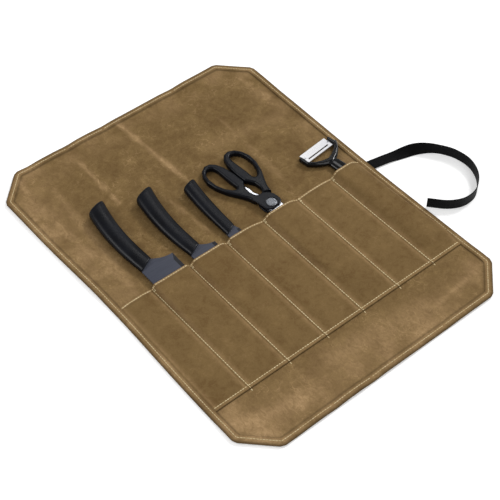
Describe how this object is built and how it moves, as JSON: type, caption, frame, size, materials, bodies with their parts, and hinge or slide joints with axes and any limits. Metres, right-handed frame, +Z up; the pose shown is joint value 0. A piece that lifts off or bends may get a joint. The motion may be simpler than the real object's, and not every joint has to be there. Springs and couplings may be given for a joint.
{
  "type": "tool roll",
  "caption": "Waxed-canvas tool roll laid open, with sewn pockets that hold knives, scissors and a peeler, a fold-over flap and a webbing strap at its edge.",
  "frame": {"origin": "on the surface that the opened roll lies on, under the middle of the cloth", "axes": "+X across the pockets towards the strap's edge, +Y along the tools towards the flap, +Z up"},
  "size_m": [0.4695, 0.5, 0.0171],
  "materials": {
    "waxed_canvas": "waxed woven canvas, matt with scuffs",
    "pocket_canvas": "waxed woven canvas, smoother and darker",
    "webbing": "black woven webbing",
    "moulded_black": "moulded black, soft satin",
    "gloss_black": "moulded black, gloss",
    "dark_blade": "dark slate blade, satin",
    "steel": "polished steel",
    "white_ceramic": "white ceramic, gloss"
  },
  "bodies": {
    "panel_5": {"shell_5": "waxed_canvas", "lining_5": "waxed_canvas", "pocket_6": "pocket_canvas", "pocket_7": "pocket_canvas", "strap_tab": "webbing", "strap": "webbing"},
    "panel_4": {"shell_4": "waxed_canvas", "lining_4": "waxed_canvas", "pocket_4": "pocket_canvas", "pocket_5": "pocket_canvas"},
    "panel_3": {"shell_3": "waxed_canvas", "lining_3": "waxed_canvas", "pocket_3": "pocket_canvas"},
    "panel_2": {"shell_2": "waxed_canvas", "lining_2": "waxed_canvas", "pocket_2": "pocket_canvas"},
    "panel_1": {"shell_1": "waxed_canvas", "lining_1": "waxed_canvas", "pocket_1": "pocket_canvas"},
    "flap_5": {"flap_shell_5": "waxed_canvas", "flap_lining_5": "waxed_canvas"},
    "flap_4": {"flap_shell_4": "waxed_canvas", "flap_lining_4": "waxed_canvas"},
    "flap_3": {"flap_shell_3": "waxed_canvas", "flap_lining_3": "waxed_canvas"},
    "flap_2": {"flap_shell_2": "waxed_canvas", "flap_lining_2": "waxed_canvas"},
    "flap_1": {"flap_shell_1": "waxed_canvas", "flap_lining_1": "waxed_canvas"},
    "large_knife": {"large_knife_blade": "dark_blade", "large_knife_handle": "moulded_black"},
    "middle_knife": {"middle_knife_blade": "dark_blade", "middle_knife_handle": "moulded_black"},
    "small_knife": {"small_knife_blade": "dark_blade", "small_knife_handle": "moulded_black"},
    "scissors": {"scissors_front_blade": "steel", "scissors_front_handle": "moulded_black", "scissors_screw": "steel", "scissors_nut": "steel"},
    "scissors_back": {"scissors_back_blade": "steel", "scissors_back_handle": "moulded_black"},
    "peeler": {"peeler_handle": "gloss_black"},
    "peeler_blade": {"peeler_blade": "white_ceramic", "peeler_pins": "steel"}
  },
  "joints": [
    {"name": "roll_up", "type": "hinge", "parent": "panel_5", "child": "panel_4", "pos_m": [0.081, 0, 0.003], "axis": [0, 1, 0], "range_deg": [0, 80]},
    {"name": "roll_up_2", "type": "hinge", "parent": "panel_4", "child": "panel_3", "pos_m": [-0.027, 0, 0.003], "axis": [0, 1, 0], "range_deg": [0, 60]},
    {"name": "roll_up_3", "type": "hinge", "parent": "panel_3", "child": "panel_2", "pos_m": [-0.081, 0, 0.003], "axis": [0, 1, 0], "range_deg": [0, 60]},
    {"name": "roll_up_4", "type": "hinge", "parent": "panel_2", "child": "panel_1", "pos_m": [-0.135, 0, 0.003], "axis": [0, 1, 0], "range_deg": [0, 60]},
    {"name": "flap_fold", "type": "hinge", "parent": "panel_5", "child": "flap_5", "pos_m": [0.1355, 0.182, 0.003], "axis": [-1, 0, 0], "range_deg": [-155, 0]},
    {"name": "flap_fold_4", "type": "hinge", "parent": "panel_4", "child": "flap_4", "pos_m": [0.027, 0.182, 0.003], "axis": [-1, 0, 0], "range_deg": [-155, 0]},
    {"name": "flap_fold_3", "type": "hinge", "parent": "panel_3", "child": "flap_3", "pos_m": [-0.054, 0.182, 0.003], "axis": [-1, 0, 0], "range_deg": [-155, 0]},
    {"name": "flap_fold_2", "type": "hinge", "parent": "panel_2", "child": "flap_2", "pos_m": [-0.108, 0.182, 0.003], "axis": [-1, 0, 0], "range_deg": [-155, 0]},
    {"name": "flap_fold_1", "type": "hinge", "parent": "panel_1", "child": "flap_1", "pos_m": [-0.1625, 0.182, 0.003], "axis": [-1, 0, 0], "range_deg": [-155, 0]},
    {"name": "large_knife_draw", "type": "slide", "parent": "panel_2", "child": "large_knife", "axis": [0, 0.9997, 0.0255], "range_m": [0, 0.14]},
    {"name": "middle_knife_draw", "type": "slide", "parent": "panel_3", "child": "middle_knife", "axis": [0, 0.9996, 0.0279], "range_m": [0, 0.145]},
    {"name": "small_knife_draw", "type": "slide", "parent": "panel_4", "child": "small_knife", "axis": [0, 0.9995, 0.0311], "range_m": [0, 0.105]},
    {"name": "scissors_draw", "type": "slide", "parent": "panel_4", "child": "scissors", "axis": [-0.0576, 0.9983, 0], "range_m": [0, 0.1]},
    {"name": "scissors_open", "type": "hinge", "parent": "scissors", "child": "scissors_back", "pos_m": [0.0505, 0.0105, 0.0063], "axis": [0, 0, 1], "range_deg": [-12, 0]},
    {"name": "peeler_draw", "type": "slide", "parent": "panel_5", "child": "peeler", "axis": [-0.1045, 0.9945, 0], "range_m": [0, 0.085]},
    {"name": "peeler_swivel", "type": "hinge", "parent": "peeler", "child": "peeler_blade", "pos_m": [0.1505, 0.044, 0.00605], "axis": [0.9945, 0.1045, 0], "range_deg": [-25, 25]}
  ],
  "couplings": [
    {"joint": "roll_up_2", "follows": "roll_up", "ratio": 0.75},
    {"joint": "roll_up_3", "follows": "roll_up", "ratio": 0.75},
    {"joint": "roll_up_4", "follows": "roll_up", "ratio": 0.75},
    {"joint": "flap_fold_4", "follows": "flap_fold", "ratio": 1},
    {"joint": "flap_fold_3", "follows": "flap_fold", "ratio": 1},
    {"joint": "flap_fold_2", "follows": "flap_fold", "ratio": 1},
    {"joint": "flap_fold_1", "follows": "flap_fold", "ratio": 1}
  ]
}
